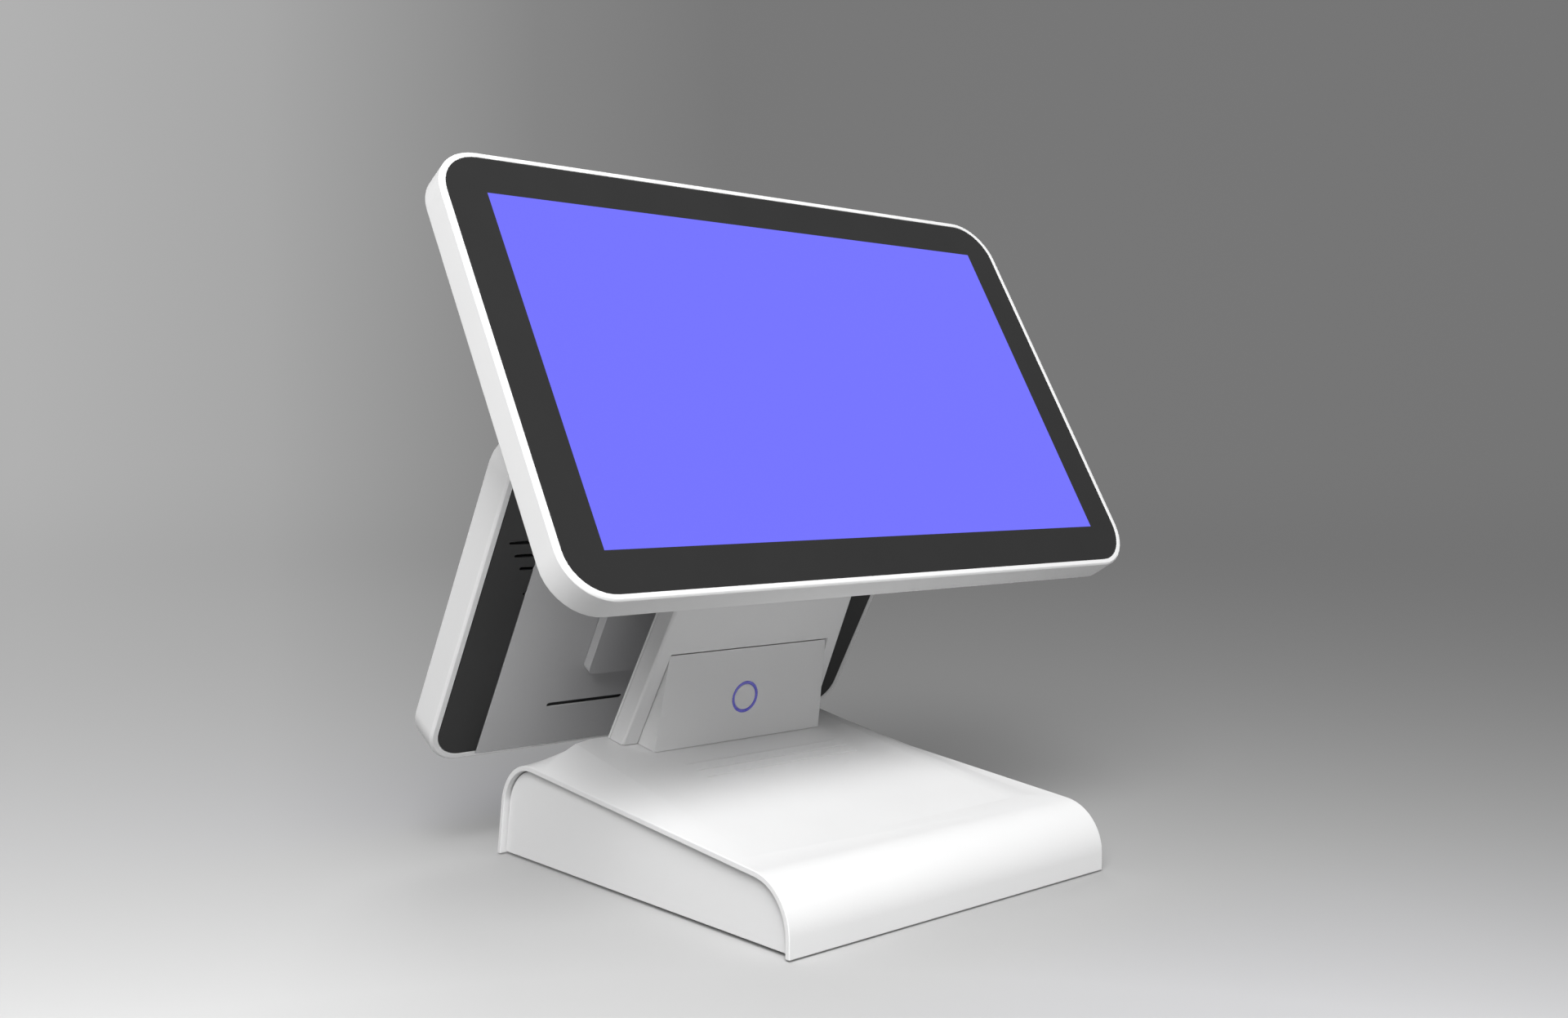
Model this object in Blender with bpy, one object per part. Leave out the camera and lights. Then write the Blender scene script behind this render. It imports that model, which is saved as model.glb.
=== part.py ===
"""Countertop point-of-sale terminal with a touch display for the cashier and a second one for the customer.

A wedge-shaped base carries a leaning neck.  The cashier's display tilts on a friction hinge at the neck's
top, and the customer's display tilts on a second hinge behind the neck.  A push button sits in a small
housing at the neck's foot.  Lengths are in metres.  The model stands on z = 0 and is centred on x = y = 0,
its front faces -Y.
"""
import math

import bmesh
import bpy
from mathutils import Matrix, Vector

# ---- general clearances -------------------------------------------------------------------------------
GAP = 0.0003            # between touching pieces
SEAM = 0.0005           # visible seam between two covers
CORNER_STEPS = 10       # segments in a quarter of a rounded corner

# ---- base ---------------------------------------------------------------------------------------------
BASE_WIDTH = 0.2247
BASE_DEPTH = 0.2465
FOOT_GAP = 0.0010       # the shell's lower edge hangs this far above the table
SHELL_WALL = 0.0030
FRONT_RADIUS = 0.0260
REAR_RADIUS = 0.0287
REAR_LEAN = math.radians(9.05)
EDGE_HEIGHT = 0.0329    # height at which the side's top line would meet the front face
EDGE_SLOPE = math.radians(5.57)
RAISE_START = 0.0393    # the raised middle of the top leaves the side's top line here
RAISE_END = BASE_DEPTH - 0.0460      # and ends here, flush with the neck's back
RAISE_SLOPE = math.radians(10.48)
RAISE_DROP = math.radians(31.0)      # downward slope behind the raised middle
RAISE_HALF_WIDTH = 0.0900
RAISE_BLEND = 0.0090    # half the width of the rounding along the raised middle's side edge
PANEL_INSET = 0.0034
PANEL_WALL = 0.0030
PLATE_WALL = 0.0020
FOOT_RADIUS = 0.0090
FOOT_INSET = 0.0240
SCREW_HEAD_RADIUS = 0.0030
VENT_HALF_LENGTH = 0.0550
VENT_WIDTH = 0.0016
VENT_DEPTH = 0.0015
VENT_PITCH = 0.0095
VENT_COUNT = 3
FRONT_STEPS = 12        # segments in the front and the rear round
REAR_STEPS = 16
PORT_BAY_HALF_WIDTH = 0.0600
PORT_BAY_LOW = 0.0090
PORT_BAY_HIGH = 0.0330
PORT_PANEL_WALL = 0.0012

# ---- neck ---------------------------------------------------------------------------------------------
NECK_LEAN = math.radians(27.97)
NECK_FOOT_Y = RAISE_END - 0.01645    # where the neck's front face meets the base
NECK_FOOT_HALF = 0.0706
NECK_TAPER = 0.0653     # loss of half width per length of neck
NECK_COVER_DEPTH = 0.0118
NECK_BACK_WALL = 0.0017
NECK_WALL = 0.0022
NECK_CHAMFER = 0.0017
NECK_LENGTH = 0.1630
NECK_FRAME_HALF = 0.0400
NECK_FRAME_WALL = 0.0030
NECK_FRAME_DEPTH = 0.0050

# ---- button housing -----------------------------------------------------------------------------------
HOUSING_LEAN = math.radians(10.65)
HOUSING_FOOT_Y = NECK_FOOT_Y - 0.01535
VENT_FIRST_Y = HOUSING_FOOT_Y - 0.0394    # the frontmost vent groove lies this far before the housing
HOUSING_HALF = 0.0604
HOUSING_TAPER = 0.0600
HOUSING_HEIGHT = 0.0536   # above the height of its front edge
HOUSING_SINK = 0.0039     # how far its back reaches behind the neck's front face
HOUSING_WALL = 0.0025
BUTTON_RISE = 0.0252      # button centre above the housing's front edge, along its face
BUTTON_RADIUS = 0.00755
BUTTON_TRAVEL = 0.0010
RING_INNER = 0.00785
RING_OUTER = 0.00920
RING_DEPTH = 0.0030

# ---- cashier's display --------------------------------------------------------------------------------
MAIN_TILT = math.radians(29.96)
MAIN_AXIS_ALONG = NECK_LENGTH + 0.01165     # from the neck's foot, along the neck
MAIN_AXIS_BEHIND = 0.0090     # axis behind the display's back face
MAIN_AXIS_HEIGHT = 0.08645    # axis above the display's lower edge
MAIN = {"half": 0.19690, "height": 0.24275, "depth": 0.0178, "corner": 0.0260,
        "screen_half": 0.1721, "screen_height": 0.1936, "cover_half": 0.1560}

# ---- customer's display -------------------------------------------------------------------------------
REAR_TILT = math.radians(30.05)
REAR_AXIS_ALONG = 0.05654
REAR_AXIS_BEHIND = 0.04011    # behind the neck's front face
REAR_PAD_HALF = 0.0663
REAR_PAD_HEIGHT = 0.0904
REAR_PAD_PROUD = 0.0063
REAR_AXIS_GAP = 0.0100        # axis in front of the pad
REAR = {"half": 0.15215, "height": 0.2016, "depth": 0.0211, "corner": 0.0215,
        "screen_half": 0.1281, "screen_height": 0.1440, "cover_half": 0.1200}

# ---- what both displays share -------------------------------------------------------------------------
RIM_WIDTH = 0.0033
RIM_EDGE = 0.0010
RIM_BACK_EDGE = 0.00135
RIM_BACK_LIP = 0.00448
RIM_BACK_LIP_DEPTH = 0.0035
RIM_INNER = 0.0026
GLASS_WALL = 0.0019
GLASS_RECESS = 0.0001
LEDGE_REACH = 0.0080
LEDGE_WALL = 0.0014
LCD_MARGIN = 0.0045
LCD_DEPTH = 0.0050
CHASSIS_WALL = 0.0012
BACK_WALL = 0.0020
COVER_RECESS = 0.0011
BOARD_WALL = 0.0016

# ---- hinges -------------------------------------------------------------------------------------------
SHAFT_RADIUS = 0.0040
BARREL_RADIUS = 0.0065
LUG_RADIUS = 0.0068
LUG_WALL = 0.0035
LEAF_HALF = 0.0270
LEAF_WALL = 0.0030
HINGE_PLATE_WALL = 0.0030
NUT_RADIUS = 0.0072
NUT_WALL = 0.0045
ROUND_STEPS = 24


# ---- scene and materials ------------------------------------------------------------------------------
def clear_scene():
    for item in list(bpy.data.objects):
        bpy.data.objects.remove(item, do_unlink=True)


def finish(name, colour, roughness, metallic=0.0):
    material = bpy.data.materials.new(name)
    material.use_nodes = True
    shader = material.node_tree.nodes["Principled BSDF"]
    shader.inputs["Base Color"].default_value = (*colour, 1.0)
    shader.inputs["Roughness"].default_value = roughness
    shader.inputs["Metallic"].default_value = metallic
    return material


def empty(name, parent=None, location=(0, 0, 0), turn=0.0):
    holder = bpy.data.objects.new(name, None)
    bpy.context.scene.collection.objects.link(holder)
    holder.parent = parent
    holder.location = location
    holder.rotation_euler = (turn, 0, 0)
    return holder


def place(name, bm, material, parent, location=(0, 0, 0), turn=0.0, smooth=False):
    """Turn a bmesh into a named object under a parent."""
    bmesh.ops.recalc_face_normals(bm, faces=bm.faces)
    mesh = bpy.data.meshes.new(name)
    bm.to_mesh(mesh)
    bm.free()
    if smooth:
        mesh.shade_smooth()
        mesh.set_sharp_from_angle(angle=math.radians(35))
    item = bpy.data.objects.new(name, mesh)
    item.data.materials.append(material)
    bpy.context.scene.collection.objects.link(item)
    item.parent = parent
    item.location = location
    item.rotation_euler = (turn, 0, 0)
    return item


def tool(bm, item, operation="DIFFERENCE"):
    """Hide a cutter beside the object that it cuts or joins."""
    count = len(item.modifiers) + 1
    helper = place(f"tool_{count}_{item.name}", bm, item.data.materials[0], item.parent,
                   item.location, item.rotation_euler.x)
    helper.hide_render = True
    helper.display_type = "WIRE"
    change = item.modifiers.new(f"{operation.lower()}_{count}", "BOOLEAN")
    change.operation = operation
    change.solver = "EXACT"
    change.object = helper
    return helper


# ---- shapes -------------------------------------------------------------------------------------------
def stack(rings, closed=False):
    """A solid through rings of equally many points, capped at both ends or closed on itself."""
    bm = bmesh.new()
    loops = [[bm.verts.new(point) for point in ring] for ring in rings]
    pairs = list(zip(loops, loops[1:]))
    if closed:
        pairs.append((loops[-1], loops[0]))
    for low, high in pairs:
        for i in range(len(low)):
            j = (i + 1) % len(low)
            bm.faces.new((low[i], low[j], high[j], high[i]))
    if not closed:
        bm.faces.new(reversed(loops[0]))
        bm.faces.new(loops[-1])
    return bm


def box(low, high):
    bm = bmesh.new()
    bmesh.ops.create_cube(bm, size=1.0)
    size = [b - a for a, b in zip(low, high)]
    centre = [(a + b) / 2 for a, b in zip(low, high)]
    bmesh.ops.scale(bm, vec=size, verts=bm.verts)
    bmesh.ops.translate(bm, vec=centre, verts=bm.verts)
    return bm


def along_x(outline, low, high):
    """Extrude a (y, z) outline from x = low to x = high."""
    return stack([[(x, y, z) for y, z in outline] for x in (low, high)])


def along_y(outline, low, high):
    """Extrude an (x, z) outline from y = low to y = high."""
    return stack([[(x, y, z) for x, z in outline] for y in (low, high)])


def rounded_rectangle(half, low, high, radius, steps=CORNER_STEPS):
    points = []
    corners = ((half - radius, low + radius, -90), (half - radius, high - radius, 0),
               (radius - half, high - radius, 90), (radius - half, low + radius, 180))
    for x, z, start in corners:
        for step in range(steps + 1):
            angle = math.radians(start + 90 * step / steps)
            points.append((x + radius * math.cos(angle), z + radius * math.sin(angle)))
    return points


def circle(radius, steps=ROUND_STEPS, centre=(0, 0)):
    turn = 2 * math.pi / steps
    return [(centre[0] + radius * math.cos(i * turn), centre[1] + radius * math.sin(i * turn))
            for i in range(steps)]


def washer(outer, inner, low, high):
    """A ring around the X axis between two (y, z) outlines of equally many points."""
    rings = [(outer, low), (outer, high), (inner, high), (inner, low)]
    return stack([[(x, y, z) for y, z in outline] for outline, x in rings], closed=True)


def lug(radius, toward, reach, half, steps=12):
    """A (y, z) outline: a round end about the axis, drawn out towards its foot."""
    along = Vector(toward)
    across = Vector((-along.y, along.x))
    points = [along * reach - across * half, along * reach + across * half]
    for step in range(steps + 1):
        angle = math.pi * step / steps
        points.append(across * radius * math.cos(angle) - along * radius * math.sin(angle))
    return [tuple(point) for point in points]


def hexagon(radius, steps=ROUND_STEPS):
    """A hexagon's outline with as many points as a circle, so that both can bound a nut."""
    flat = radius * math.cos(math.radians(30))
    points = []
    for index in range(steps):
        angle = 2 * math.pi * index / steps
        reach = flat / math.cos(angle % math.radians(60) - math.radians(30))
        points.append((reach * math.cos(angle), reach * math.sin(angle)))
    return points


def slot(half_length, width, steps=4):
    """A flat (x, z) outline with round ends."""
    radius = width / 2
    points = []
    for centre, start in ((half_length - radius, -90), (radius - half_length, 90)):
        for step in range(steps + 1):
            angle = math.radians(start + 180 * step / steps)
            points.append((centre + radius * math.cos(angle), radius * math.sin(angle)))
    return points


# ---- heights and places that several pieces share ------------------------------------------------------
def plateau(y):
    """Height of the base's raised middle."""
    start = EDGE_HEIGHT + RAISE_START * math.tan(EDGE_SLOPE)
    return start + (y - RAISE_START) * math.tan(RAISE_SLOPE)


def in_neck(depth, along):
    """Base (y, z) of a point that lies this deep behind the neck's front face and this far up the neck."""
    y = NECK_FOOT_Y + depth * math.cos(NECK_LEAN) - along * math.sin(NECK_LEAN)
    z = plateau(NECK_FOOT_Y) + depth * math.sin(NECK_LEAN) + along * math.cos(NECK_LEAN)
    return y, z


def to_neck(y, z):
    """Depth behind the neck's front face and length up the neck of a base (y, z) point."""
    y -= NECK_FOOT_Y
    z -= plateau(NECK_FOOT_Y)
    return (y * math.cos(NECK_LEAN) + z * math.sin(NECK_LEAN),
            z * math.cos(NECK_LEAN) - y * math.sin(NECK_LEAN))


def neck_foot(depth, gap=GAP):
    """How far along the neck the base's raised middle lies at this depth."""
    rise = depth * math.sin(NECK_LEAN) - depth * math.cos(NECK_LEAN) * math.tan(RAISE_SLOPE) - gap
    return -rise / (math.cos(NECK_LEAN) + math.sin(NECK_LEAN) * math.tan(RAISE_SLOPE))


NECK_DEPTH = NECK_COVER_DEPTH + GAP + NECK_BACK_WALL
HOUSING_FOOT_Z = plateau(HOUSING_FOOT_Y) + GAP
PANEL_FACE = BASE_WIDTH / 2 - PANEL_INSET
FLOOR_HALF = PANEL_FACE - PANEL_WALL - GAP


def rear_most():
    """Depth of the whole terminal, from the base's front to the customer's display's lower rear edge."""
    y, _ = in_neck(REAR_AXIS_BEHIND, REAR_AXIS_ALONG)
    out = REAR_AXIS_GAP + REAR_PAD_PROUD + REAR["depth"]
    low = REAR["height"] / 2 - RIM_EDGE
    return y + out * math.cos(REAR_TILT) + low * math.sin(REAR_TILT)


# ---- base ---------------------------------------------------------------------------------------------
def raise_at(y, edge_z):
    """Extra height of the raised middle above the side's profile, whose front round it leaves alone."""
    if y <= RAISE_START:
        return 0.0
    up = plateau(y)
    down = plateau(RAISE_END) - (y - RAISE_END) * math.tan(RAISE_DROP)
    return max(0.0, min(up, down) - edge_z)


def side_weight(x):
    """1 across the raised middle, 0 at the shell's ends, with a rounded crease between."""
    run = BASE_WIDTH / 2 - RAISE_HALF_WIDTH
    start = RAISE_HALF_WIDTH - RAISE_BLEND
    if abs(x) <= start:
        return 1.0
    if abs(x) >= RAISE_HALF_WIDTH + RAISE_BLEND:
        return (BASE_WIDTH / 2 - abs(x)) / run
    return 1.0 - (abs(x) - start) ** 2 / (4 * RAISE_BLEND * run)


def base_outline(weight, inset, floor=0.0):
    """(y, z) points over the base from front to back, moved inwards by inset."""
    slope = math.tan(EDGE_SLOPE)
    lean = math.tan(REAR_LEAN)
    front = (FRONT_RADIUS, EDGE_HEIGHT + slope * FRONT_RADIUS - FRONT_RADIUS / math.cos(EDGE_SLOPE))
    # centre of the rear round: one radius below the top line and one radius inside the rear face
    lift = EDGE_HEIGHT - REAR_RADIUS / math.cos(EDGE_SLOPE)
    back = BASE_DEPTH - REAR_RADIUS / math.cos(REAR_LEAN)
    rear_y = (back - lean * lift) / (1 + lean * slope)
    rear = (rear_y, lift + slope * rear_y)

    points = [(inset, floor)]
    top_angle = math.pi / 2 + EDGE_SLOPE
    for step in range(FRONT_STEPS + 1):
        angle = math.pi + (top_angle - math.pi) * step / FRONT_STEPS
        radius = FRONT_RADIUS - inset
        points.append((front[0] + radius * math.cos(angle), front[1] + radius * math.sin(angle)))
    for y in (RAISE_START, RAISE_END):
        points.append((y, EDGE_HEIGHT + slope * y - inset / math.cos(EDGE_SLOPE)))
    for step in range(REAR_STEPS + 1):
        angle = top_angle + (REAR_LEAN - top_angle) * step / REAR_STEPS
        radius = REAR_RADIUS - inset
        points.append((rear[0] + radius * math.cos(angle), rear[1] + radius * math.sin(angle)))
    points.append((BASE_DEPTH - inset / math.cos(REAR_LEAN) - floor * lean, floor))
    drop = inset / math.cos(EDGE_SLOPE)
    return [(y, z + weight * raise_at(y, z + drop)) if z > floor + REAR_RADIUS / 4 else (y, z)
            for y, z in points]


def base_shell(parent, material):
    edge = RAISE_HALF_WIDTH
    stops = [BASE_WIDTH / 2, edge + RAISE_BLEND, edge, edge - RAISE_BLEND]
    rings = []
    for x in [-stop for stop in stops] + stops[::-1]:
        weight = side_weight(x)
        outline = base_outline(weight, 0) + base_outline(weight, SHELL_WALL)[::-1]
        rings.append([(x, y, z) for y, z in outline])
    shell = place("base_shell", stack(rings), material, parent, smooth=True)
    for index in range(VENT_COUNT):
        y = VENT_FIRST_Y + index * VENT_PITCH
        groove = stack([[(x, y + z, height) for x, z in slot(VENT_HALF_LENGTH, VENT_WIDTH)]
                        for height in (plateau(y) - VENT_DEPTH, plateau(y) + VENT_WIDTH)])
        tool(groove, shell)
    slit = NECK_FRAME_HALF + 2 * GAP
    depth = NECK_FRAME_DEPTH
    low = in_neck(depth - 2 * GAP, -0.03)
    tool(along_x([low, in_neck(depth + NECK_FRAME_WALL + 2 * GAP, -0.03),
                  in_neck(depth + NECK_FRAME_WALL + 2 * GAP, 0.01), in_neck(depth - 2 * GAP, 0.01)],
                 -slit, slit), shell)
    tool(box((-PORT_BAY_HALF_WIDTH, BASE_DEPTH - 0.03, PORT_BAY_LOW),
             (PORT_BAY_HALF_WIDTH, BASE_DEPTH + 0.01, PORT_BAY_HIGH)), shell)


def side_panels(parent, material):
    outline = base_outline(0, SHELL_WALL + SEAM, floor=GAP * 3)
    for name, side in (("side_panel_left", -1), ("side_panel_right", 1)):
        outer = side * PANEL_FACE
        inner = side * (PANEL_FACE - PANEL_WALL)
        place(name, along_x(outline, min(outer, inner), max(outer, inner)), material, parent, smooth=True)


def foot_places():
    x = BASE_WIDTH / 2 - FOOT_INSET
    for end, y in (("front", FOOT_INSET), ("rear", BASE_DEPTH - FOOT_INSET)):
        for side, sign in (("left", -1), ("right", 1)):
            yield f"{end}_{side}", sign * x, y


def base_floor(parent, steel, rubber, zinc):
    low = GAP
    high = low + PLATE_WALL
    front = SHELL_WALL + GAP
    back = BASE_DEPTH - (SHELL_WALL + GAP) / math.cos(REAR_LEAN) - high * math.tan(REAR_LEAN)
    plate = place("bottom_plate", box((-FLOOR_HALF, front, low), (FLOOR_HALF, back, high)), steel, parent)
    hole = SCREW_HEAD_RADIUS + GAP
    for name, x, y in foot_places():
        rings = [[(px, py, z) for px, py in circle(FOOT_RADIUS, centre=(x, y))] for z in (-FOOT_GAP, low - GAP)]
        place(f"foot_{name}", stack(rings), rubber, parent, smooth=True)
        inward = x - math.copysign(2 * FOOT_RADIUS, x)
        rings = [[(px, py, z) for px, py in circle(hole, 12, (inward, y))] for z in (low - 0.01, high + 0.01)]
        tool(stack(rings), plate)
        rings = [[(px, py, z) for px, py in circle(SCREW_HEAD_RADIUS, 12, (inward, y))]
                 for z in (low, high + 0.004)]
        place(f"floor_screw_{name}", stack(rings), zinc, parent, smooth=True)
    return high


def electronics(parent, floor, colours):
    board_z = floor + 0.008
    half, front, back = 0.0850, 0.0340, NECK_FOOT_Y - 0.0440
    board = place("mainboard", box((-half, front, board_z), (half, back, board_z + BOARD_WALL)),
                  colours["board"], parent)
    for x in (-half + 0.006, half - 0.006):
        for y in (front + 0.006, back - 0.006):
            post = [[(px, py, z) for px, py in circle(0.003, 12, (x, y))]
                    for z in (floor + GAP, board_z + BOARD_WALL / 2)]
            tool(stack(post), board, "UNION")
    sink_low = board_z + BOARD_WALL + GAP
    fin_step, fin_wall, fins = 0.0055, 0.0016, 10
    outline = []
    for fin in range(fins):
        x = (fin - (fins - 1) / 2) * fin_step
        outline += [(x - fin_wall / 2, sink_low + 0.003), (x - fin_wall / 2, sink_low + 0.013),
                    (x + fin_wall / 2, sink_low + 0.013), (x + fin_wall / 2, sink_low + 0.003)]
    reach = (fins - 1) / 2 * fin_step + fin_wall
    outline += [(reach, sink_low + 0.003), (reach, sink_low), (-reach, sink_low), (-reach, sink_low + 0.003)]
    place("heat_sink", along_y(outline, front + 0.0260, back - 0.03005), colours["aluminium"], parent)
    block_half, block_depth = 0.0600, 0.0400
    block_back = NECK_FOOT_Y + 0.0060
    place("ballast_plate", box((-block_half, block_back - block_depth, floor + GAP),
                               (block_half, block_back, floor + 0.0100)), colours["steel"], parent)


def port_bay(parent, colours):
    """Steel panel behind the opening in the rear wall, with the sockets that sit in it."""
    holder = empty("port_bay", parent, (0, BASE_DEPTH, 0), REAR_LEAN)
    outer = -(SHELL_WALL + GAP)
    inner = outer - PORT_PANEL_WALL
    half = PORT_BAY_HALF_WIDTH + 0.004
    low, high = PORT_BAY_LOW - 0.004, PORT_BAY_HIGH + 0.003
    panel = place("port_panel", box((-half, inner, low), (half, outer, high)), colours["steel"], holder)
    middle = (PORT_BAY_LOW + PORT_BAY_HIGH) / 2
    sockets = [("power_inlet", -0.0480, 0.0110, 0.0110, "gloss"), ("drawer_socket", -0.0270, 0.0125, 0.0120, "gloss"),
               ("lan_socket", -0.0040, 0.0160, 0.0135, "zinc"), ("usb_socket_a", 0.0210, 0.0145, 0.0160, "zinc"),
               ("usb_socket_b", 0.0430, 0.0145, 0.0160, "zinc")]
    for name, x, width, height, key in sockets:
        frame = [(x - width / 2, middle - height / 2), (x + width / 2, middle - height / 2),
                 (x + width / 2, middle + height / 2), (x - width / 2, middle + height / 2)]
        hole = [(px + math.copysign(GAP, px - x), pz + math.copysign(GAP, pz - middle)) for px, pz in frame]
        tool(along_y(hole, inner - 0.005, outer + 0.005), panel)
        body = place(name, along_y(frame, inner - 0.012, outer + 0.0006), colours[key], holder)
        wall = 0.0012
        if name == "power_inlet":
            ring = [[(px, y, pz) for px, pz in circle(0.0032, 16, (x, middle))] for y in (inner - 0.008, 0.01)]
            tool(stack(ring), body)
            pin = [[(px, y, pz) for px, pz in circle(0.0011, 8, (x, middle))]
                   for y in (inner - 0.010, outer - 0.001)]
            tool(stack(pin), body, "UNION")
            continue
        levels = (-1, 1) if name.startswith("usb") else (0,)
        for level in levels:
            room = (height - 3 * wall) / 2 if level else height - 2 * wall
            centre = middle + level * (room + wall) / 2
            tool(box((x - width / 2 + wall, inner - 0.010, centre - room / 2),
                     (x + width / 2 - wall, 0.01, centre + room / 2)), body)
            if level:
                tool(box((x - width / 2 + 2.6 * wall, inner - 0.011, centre - 0.0007),
                         (x + width / 2 - 2.6 * wall, outer - 0.001, centre + 0.0009)), body, "UNION")


# ---- neck ---------------------------------------------------------------------------------------------
def tapered(outline, top, foot_gap=GAP):
    """A solid up the neck from the base: (x, depth) outline at the foot, narrowing with the neck."""
    rings = []
    for at_top in (False, True):
        ring = []
        for x, depth in outline:
            along = top if at_top else neck_foot(depth, foot_gap)
            narrow = 1 - NECK_TAPER * along / NECK_FOOT_HALF
            ring.append((x * narrow, depth, along))
        rings.append(ring)
    return stack(rings)


def neck_covers(neck, white):
    half, wall, edge, deep = NECK_FOOT_HALF, NECK_WALL, NECK_CHAMFER, NECK_COVER_DEPTH
    side = [(half, deep), (half, edge * 0.8), (half - edge, 0)]
    inside = [(half - wall, wall), (half - wall, deep)]
    outline = ([(-x, d) for x, d in side] + side[::-1] + inside[::-1]
               + [(-x, d) for x, d in inside])
    front = place("neck_front_cover", tapered(outline, NECK_LENGTH), white, neck)
    lid = box((-half, NECK_WALL, NECK_LENGTH - NECK_WALL), (half, deep, NECK_LENGTH))
    for vert in lid.verts:
        vert.co.x = math.copysign(half - wall / 2 - NECK_TAPER * NECK_LENGTH, vert.co.x)
        vert.co.y = wall / 2 if vert.co.y < deep / 2 else deep
    tool(lid, front, "UNION")
    slit = NECK_FRAME_HALF + 2 * GAP
    tool(box((-slit, NECK_FRAME_DEPTH - 2 * GAP, NECK_LENGTH - 0.01),
             (slit, NECK_COVER_DEPTH + 0.001, NECK_LENGTH + 0.01)), front)
    # opening that the button housing stands in
    rings = []
    for rise in (-0.02, HOUSING_HEIGHT + SEAM):
        x = housing_half(rise) + SEAM
        z = HOUSING_FOOT_Z + rise
        back = (wall + 0.001) / math.cos(NECK_LEAN) - (z - plateau(NECK_FOOT_Y)) * math.tan(NECK_LEAN)
        corners = [(-x, -0.02), (x, -0.02), (x, 0), (-x, 0)]
        rings.append([(px, *to_neck(NECK_FOOT_Y + back + dy, z)) for px, dy in corners])
    tool(stack(rings), front)
    start = deep + GAP
    plate = [(-half, start), (half, start), (half, start + NECK_BACK_WALL), (-half, start + NECK_BACK_WALL)]
    place("neck_back_cover", tapered(plate, NECK_LENGTH), white, neck)


def neck_frame(base, floor, steel, zinc):
    """Bent steel plate from the base's floor up to the display's hinge."""
    deep, wall = NECK_FRAME_DEPTH, NECK_FRAME_WALL
    top = NECK_LENGTH - 0.004
    foot_z = floor + GAP

    def at_height(depth, z):
        along = (z - plateau(NECK_FOOT_Y) - depth * math.sin(NECK_LEAN)) / math.cos(NECK_LEAN)
        return in_neck(depth, along)

    bend = at_height(deep, foot_z + wall)
    outline = [(bend[0] - 0.030, foot_z), at_height(deep + wall, foot_z), in_neck(deep + wall, top),
               in_neck(deep, top), bend, (bend[0] - 0.030, foot_z + wall)]
    place("neck_frame", along_x(outline, -NECK_FRAME_HALF, NECK_FRAME_HALF), steel, base)
    for name, x in (("neck_bolt_left", -0.026), ("neck_bolt_right", 0.026)):
        rings = [[(px, py, z) for px, py in circle(0.0055, 6, (x, bend[0] - 0.016))]
                 for z in (foot_z + wall + GAP, foot_z + wall + 0.0045)]
        place(name, stack(rings), zinc, base)


# ---- button housing -----------------------------------------------------------------------------------
def housing_half(rise):
    return HOUSING_HALF - HOUSING_TAPER * rise


def housing_along(rise):
    """Neck length at which a point this high above the housing's front edge lies, at the housing's back."""
    z = HOUSING_FOOT_Z + rise
    depth = HOUSING_SINK
    return (z - plateau(NECK_FOOT_Y) - depth * math.sin(NECK_LEAN)) / math.cos(NECK_LEAN)


def housing_outline(wall):
    """(y, z) wedge between the base, the leaning face and the neck, with its walls taken off."""
    def face(z):
        return HOUSING_FOOT_Y + wall / math.cos(HOUSING_LEAN) - (z - HOUSING_FOOT_Z) * math.tan(HOUSING_LEAN)

    foot = HOUSING_FOOT_Z + wall
    back_low = in_neck(HOUSING_SINK, neck_foot(HOUSING_SINK))
    high = HOUSING_FOOT_Z + HOUSING_HEIGHT - GAP - wall
    back_high = in_neck(HOUSING_SINK, housing_along(high - HOUSING_FOOT_Z))
    return [(face(foot), foot), (back_low[0], back_low[1] + wall), back_high, (face(high), high)]


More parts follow.
